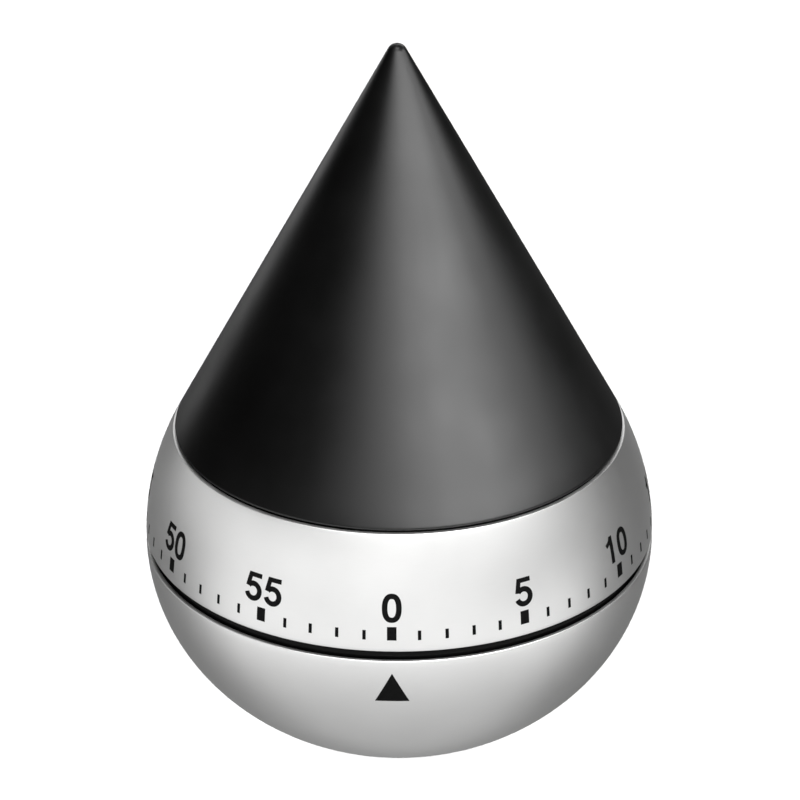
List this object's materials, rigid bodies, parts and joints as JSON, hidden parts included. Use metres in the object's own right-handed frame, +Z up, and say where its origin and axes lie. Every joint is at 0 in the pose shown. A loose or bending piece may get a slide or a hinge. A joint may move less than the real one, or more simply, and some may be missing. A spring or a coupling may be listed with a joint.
{
  "type": "kitchen timer",
  "caption": "Drop-shaped clockwork kitchen timer: soft black cone over a turning steel dial ring with minute scale, on a steel bowl holding the movement and bell.",
  "frame": {"origin": "centre of the foot, on the surface the timer stands on", "axes": "+Z up along the axis the dial turns on; the index mark and the scale's zero face -Y; +X is to the right, where the scale's numbers grow"},
  "size_m": [0.066, 0.066, 0.0934],
  "materials": {
    "soft_touch_black": "soft-touch matte with a satin sheen",
    "satin_steel": "fine satin",
    "black_abs": "moulded, fine texture",
    "foot_rubber": "matte",
    "brass": "machined",
    "machine_steel": "turned",
    "spring_steel": "blued",
    "bell_metal": "polished nickel"
  },
  "bodies": {
    "root": {"lower_cup": "satin_steel", "inner_housing": "black_abs", "base_plate": "black_abs", "foot_ring": "foot_rubber", "base_screw_1": "machine_steel", "base_screw_2": "machine_steel", "base_screw_3": "machine_steel", "bell": "bell_metal", "bell_post": "machine_steel", "bell_nut": "machine_steel", "back_plate": "brass", "front_plate": "brass", "pillar_1": "machine_steel", "pillar_2": "machine_steel", "pillar_3": "machine_steel", "pillar_nut_1": "machine_steel", "pillar_nut_2": "machine_steel", "pillar_nut_3": "machine_steel", "movement_screw_1": "machine_steel", "movement_screw_2": "machine_steel", "movement_screw_3": "machine_steel", "stop_pin": "machine_steel", "lever_stud": "machine_steel", "arbor_bush": "brass", "hammer_spring": "spring_steel", "lever_spring": "spring_steel"},
    "dial": {"cone_cap": "soft_touch_black", "dial_ring": "satin_steel", "dial_carrier": "black_abs", "cap_screw_1": "machine_steel", "cap_screw_2": "machine_steel", "cap_screw_3": "machine_steel", "hub_screw": "machine_steel", "main_arbor": "machine_steel", "main_wheel": "brass", "clutch_washer": "spring_steel", "clutch_clip": "spring_steel", "release_cam": "machine_steel", "stop_arm": "machine_steel"},
    "second": {"second_arbor": "machine_steel", "second_wheel": "brass"},
    "third": {"third_arbor": "machine_steel", "third_wheel": "brass"},
    "escape": {"escape_arbor": "machine_steel", "escape_wheel": "brass"},
    "balance": {"balance_staff": "machine_steel", "balance_wheel": "brass", "pallet_plate": "machine_steel"},
    "barrel": {"barrel": "brass", "barrel_cover": "brass", "mainspring": "spring_steel"},
    "strike": {"strike_arbor": "machine_steel", "strike_wheel": "machine_steel"},
    "hammer": {"hammer_arbor": "machine_steel", "hammer_pallet": "machine_steel", "hammer": "brass"},
    "release_lever": {"release_lever": "machine_steel"}
  },
  "joints": [
    {"name": "dial_turn", "type": "hinge", "parent": "root", "child": "dial", "pos_m": [0, 0, 0.025], "axis": [0, 0, -1], "range_deg": [0, 354], "deforming": ["mainspring"]},
    {"name": "second_turn", "type": "hinge", "parent": "root", "child": "second", "pos_m": [0.01278, 0.00465, 0.022], "axis": [0, 0, -1], "range_deg": [-2656, 1]},
    {"name": "third_turn", "type": "hinge", "parent": "root", "child": "third", "pos_m": [0.0131, 0.01445, 0.02], "axis": [0, 0, -1], "range_deg": [-1, 15931]},
    {"name": "escape_turn", "type": "hinge", "parent": "root", "child": "escape", "pos_m": [0.00668, 0.01832, 0.02], "axis": [0, 0, -1], "range_deg": [-83634, 1]},
    {"name": "balance_swing", "type": "hinge", "parent": "root", "child": "balance", "pos_m": [-0.00043, 0.0195, 0.022], "axis": [0, 0, -1], "range_deg": [-14, 14], "stiffness_Nm_per_rad": 0.000002},
    {"name": "barrel_turn", "type": "hinge", "parent": "root", "child": "barrel", "pos_m": [0, 0, 0.016], "axis": [0, 0, -1], "range_deg": [0, 360]},
    {"name": "strike_turn", "type": "hinge", "parent": "root", "child": "strike", "pos_m": [-0.01353, -0.00493, 0.02], "axis": [0, 0, -1], "range_deg": [-1801, 1]},
    {"name": "hammer_swing", "type": "hinge", "parent": "root", "child": "hammer", "pos_m": [-0.01518, -0.01224, 0.015], "axis": [0, 0, -1], "range_deg": [-4.4, 3], "stiffness_Nm_per_rad": 0.0002, "deforming": ["hammer_spring"]},
    {"name": "release_turn", "type": "hinge", "parent": "root", "child": "release_lever", "pos_m": [-0.0135, 0, 0.0258], "axis": [0, 0, -1], "range_deg": [0, 6.5], "stiffness_Nm_per_rad": 0.0002, "deforming": ["lever_spring"]}
  ],
  "couplings": [
    {"joint": "second_turn", "follows": "dial_turn", "ratio": -7.5},
    {"joint": "third_turn", "follows": "dial_turn", "ratio": 45},
    {"joint": "escape_turn", "follows": "dial_turn", "ratio": -236.25},
    {"joint": "strike_turn", "follows": "barrel_turn", "ratio": -5}
  ]
}
